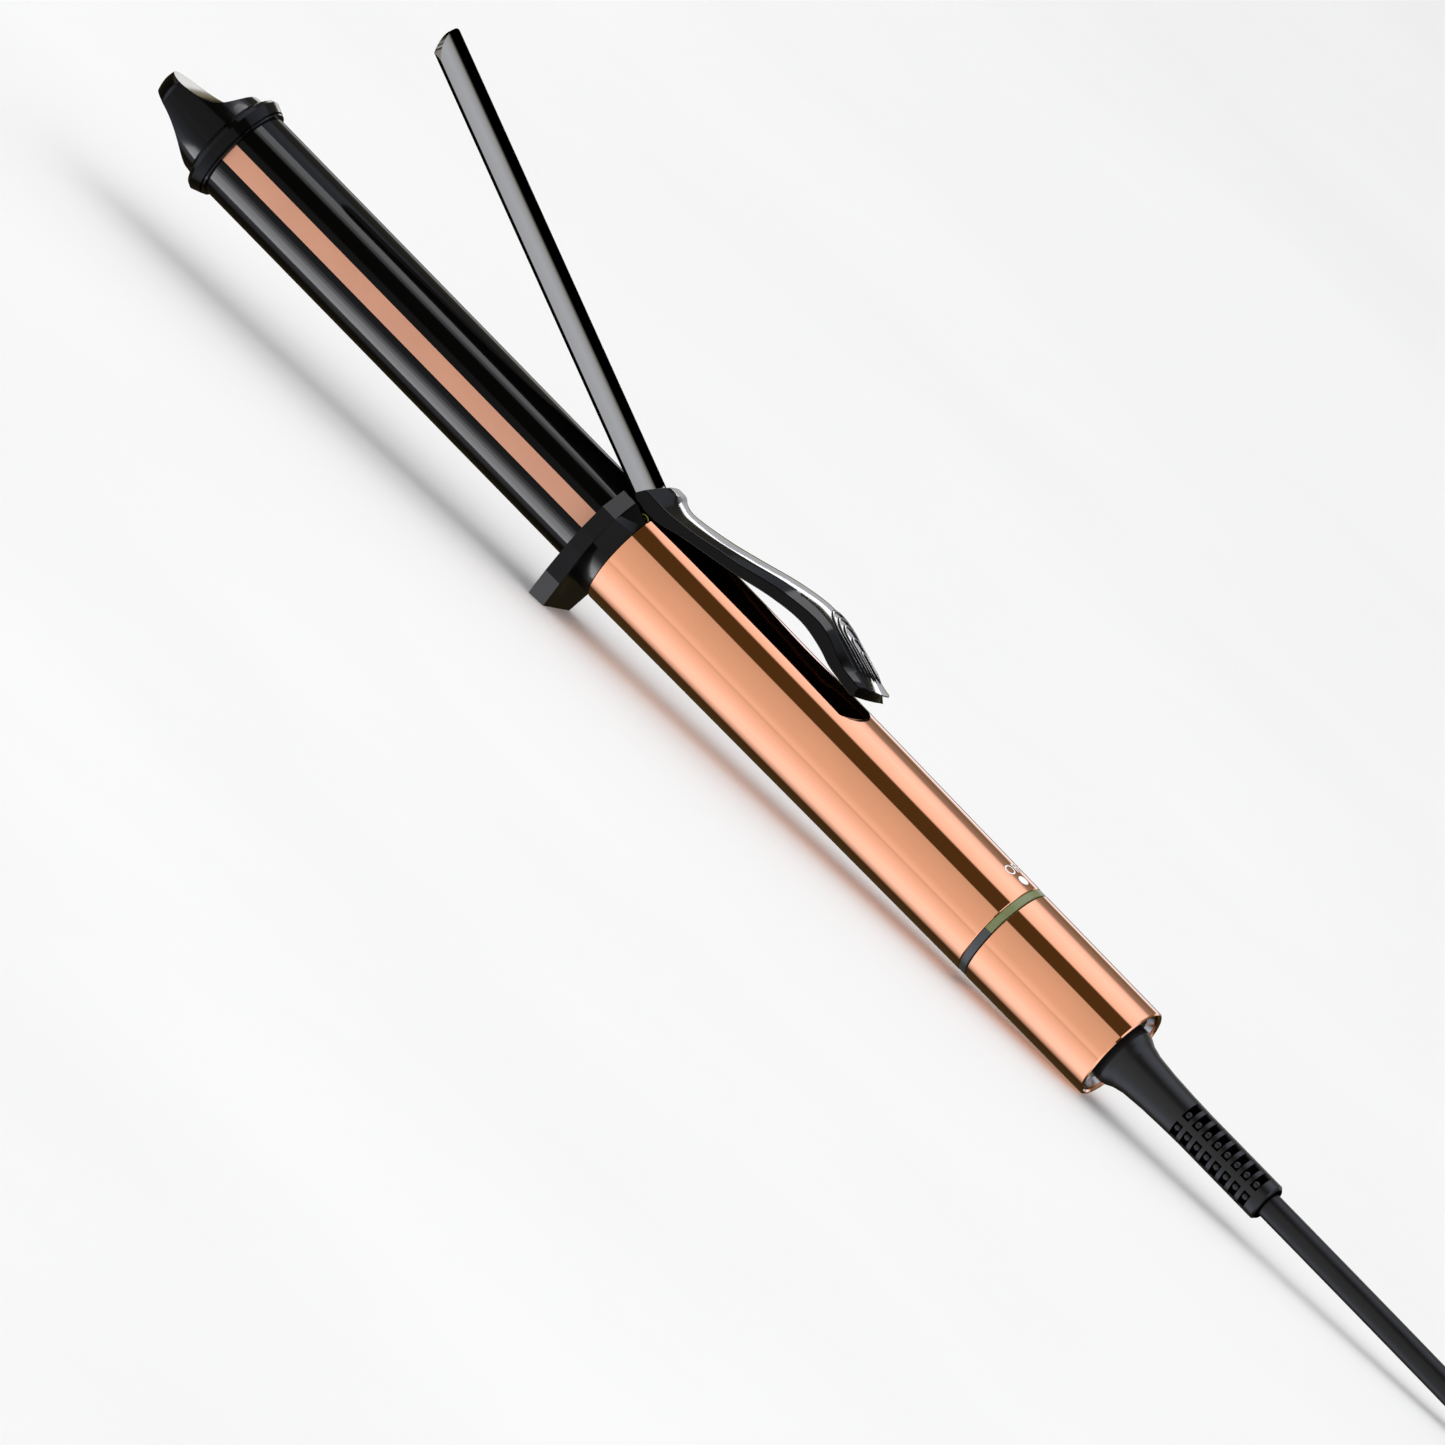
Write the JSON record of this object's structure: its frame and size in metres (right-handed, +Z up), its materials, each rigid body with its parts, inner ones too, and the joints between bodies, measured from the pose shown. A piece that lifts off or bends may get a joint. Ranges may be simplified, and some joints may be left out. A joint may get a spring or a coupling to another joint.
{
  "type": "curling iron",
  "caption": "Hair curling iron with a heated barrel, sprung clamp, thumb lever, stand foot, temperature dial in the handle's tail, swivel cord and plug, laid on a table.",
  "frame": {"origin": "middle of the stand foot's sole, on the table", "axes": "+X along the iron from the tip towards the cord, level with the table; +Z up, through the thumb lever; +Y to the iron's far side"},
  "size_m": [0.6672, 0.0616, 0.0879],
  "materials": {
    "barrel_coat": "gloss black ceramic coating",
    "rose_trim": "satin rose inlay",
    "rose_gold": "mirror-bright rose gold lacquer",
    "black_gloss": "gloss black",
    "black_plastic": "fine satin black",
    "guard_black": "satin black moulding",
    "blade_coat": "gloss black coated sheet steel",
    "light_green": "translucent pale green",
    "slate_plastic": "dark slate",
    "bright_metal": "polished",
    "steel": "plain steel",
    "aluminium": "extruded",
    "brass": "bright",
    "ceramic": "fired ceramic",
    "heatproof_plastic": "glass-filled moulding",
    "core_plastic": "moulded",
    "board_green": "solder mask over glass laminate",
    "yellow_film": "moulded case",
    "cord_black": "smooth flexible sheath",
    "relief_rubber": "matt flexible moulding",
    "strap_fabric": "woven hook-and-loop strap",
    "lead_sleeve": "silicone sleeve",
    "lamp_clear": "moulded lens"
  },
  "bodies": {
    "iron": {"barrel": "barrel_coat", "barrel_strip_near": "rose_trim", "barrel_strip_far": "rose_trim", "tip_cap": "black_gloss", "tip_bracket": "steel", "tip_screw": "steel", "heater_block_upper": "aluminium", "heater_block_lower": "aluminium", "ptc_heater": "ceramic", "thermistor": "ceramic", "thermal_fuse": "aluminium", "heater_leads": "lead_sleeve", "barrel_bushing": "heatproof_plastic", "guard_collar": "guard_black", "pivot_pin": "steel", "torsion_springs": "brass", "handle_tube": "rose_gold", "core_left": "core_plastic", "core_right": "core_plastic", "core_screws": "steel", "circuit_board": "board_green", "power_switch": "steel", "capacitor": "yellow_film", "controller_chip": "black_plastic", "lamp_board": "board_green", "status_lamps": "lamp_clear", "light_ring": "light_green", "ring_spacer": "slate_plastic", "contact_track": "brass", "dial_detent": "steel", "tail_bushing": "bright_metal", "swivel_housing": "heatproof_plastic", "swivel_brushes": "brass", "cord": "cord_black", "cord_hank": "cord_black", "cord_end": "cord_black", "cord_tie": "strap_fabric", "plug_body": "black_plastic", "plug_pins": "bright_metal"},
    "clamp": {"clamp_blade": "blade_coat", "blade_screws": "steel", "thumb_lever": "black_gloss"},
    "dial": {"temperature_dial": "rose_gold", "dial_wiper": "brass"},
    "swivel": {"strain_relief": "relief_rubber", "swivel_stem": "relief_rubber", "slip_rings": "brass", "stem_clip": "steel"}
  },
  "joints": [
    {"name": "clamp_pivot", "type": "hinge", "parent": "iron", "child": "clamp", "pos_m": [0.00653, 0, 0.0313], "axis": [0, 1, 0], "range_deg": [-20.3, 1.3], "stiffness_Nm_per_rad": 0.25, "springref_deg": -28.65, "deforming": ["torsion_springs"]},
    {"name": "dial_turn", "type": "hinge", "parent": "iron", "child": "dial", "pos_m": [0.16097, 0, 0.01452], "axis": [0.9987, 0, -0.0519], "range_deg": [-60, 90]},
    {"name": "cord_swivel", "type": "hinge", "parent": "iron", "child": "swivel", "pos_m": [0.20092, 0, 0.01244], "axis": [0.9987, 0, -0.0519], "continuous": true}
  ]
}
